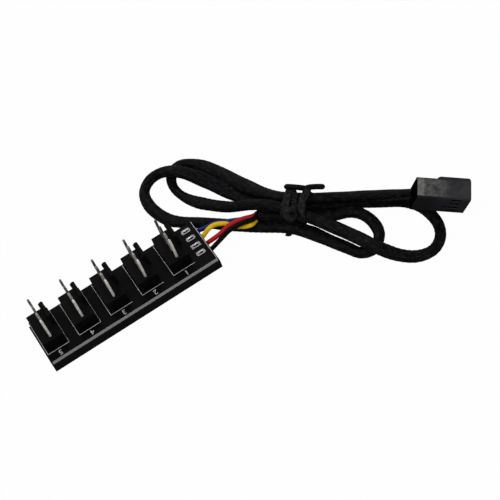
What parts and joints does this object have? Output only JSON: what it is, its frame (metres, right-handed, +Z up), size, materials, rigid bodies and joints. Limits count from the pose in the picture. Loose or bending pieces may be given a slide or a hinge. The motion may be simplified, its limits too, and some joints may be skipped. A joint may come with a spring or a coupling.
{
  "type": "fan splitter",
  "caption": "Small board with a row of four-pin fan headers on a foam pad, fed by a sleeved cable tied in a hank that ends in a four-way socket.",
  "frame": {"origin": "on the floor under the middle of the board, cable left out", "axes": "+X along the board towards its cable end, +Y towards the headers' edge, +Z up"},
  "size_m": [0.1137, 0.0693, 0.016],
  "materials": {
    "solder_mask": "black solder mask, semi-gloss",
    "solder": "bright solder and plating",
    "foam": "dark closed-cell foam, matte",
    "header_plastic": "moulded black, satin",
    "pin_metal": "tinned, satin",
    "wire_blue": "insulation, satin",
    "wire_yellow": "insulation, satin",
    "wire_red": "insulation, satin",
    "wire_black": "insulation, satin",
    "sleeve": "braided monofilament, satin",
    "tie_plastic": "flexible strip, satin",
    "socket_plastic": "moulded dark grey, satin",
    "terminal_metal": "tinned, satin"
  },
  "bodies": {
    "root": {"circuit_board": "solder_mask", "slot_plating": "solder", "foam_pad": "foam", "header_1": "header_plastic", "header_2": "header_plastic", "header_3": "header_plastic", "header_4": "header_plastic", "header_5": "header_plastic", "pin_1_1": "pin_metal", "pin_1_2": "pin_metal", "pin_1_3": "pin_metal", "pin_1_4": "pin_metal", "pin_2_1": "pin_metal", "pin_2_2": "pin_metal", "pin_2_3": "pin_metal", "pin_2_4": "pin_metal", "pin_3_1": "pin_metal", "pin_3_2": "pin_metal", "pin_3_3": "pin_metal", "pin_3_4": "pin_metal", "pin_4_1": "pin_metal", "pin_4_2": "pin_metal", "pin_4_3": "pin_metal", "pin_4_4": "pin_metal", "pin_5_1": "pin_metal", "pin_5_2": "pin_metal", "pin_5_3": "pin_metal", "pin_5_4": "pin_metal", "solder_1": "solder", "solder_2": "solder", "solder_3": "solder", "solder_4": "solder", "solder_5": "solder", "wire_joints": "solder", "wire_blue": "wire_blue", "wire_yellow": "wire_yellow", "wire_red": "wire_red", "wire_black": "wire_black", "cable_sleeve": "sleeve", "twist_tie": "tie_plastic", "socket_housing": "socket_plastic", "terminal_1": "terminal_metal", "terminal_2": "terminal_metal", "terminal_3": "terminal_metal", "terminal_4": "terminal_metal"}
  },
  "joints": []
}
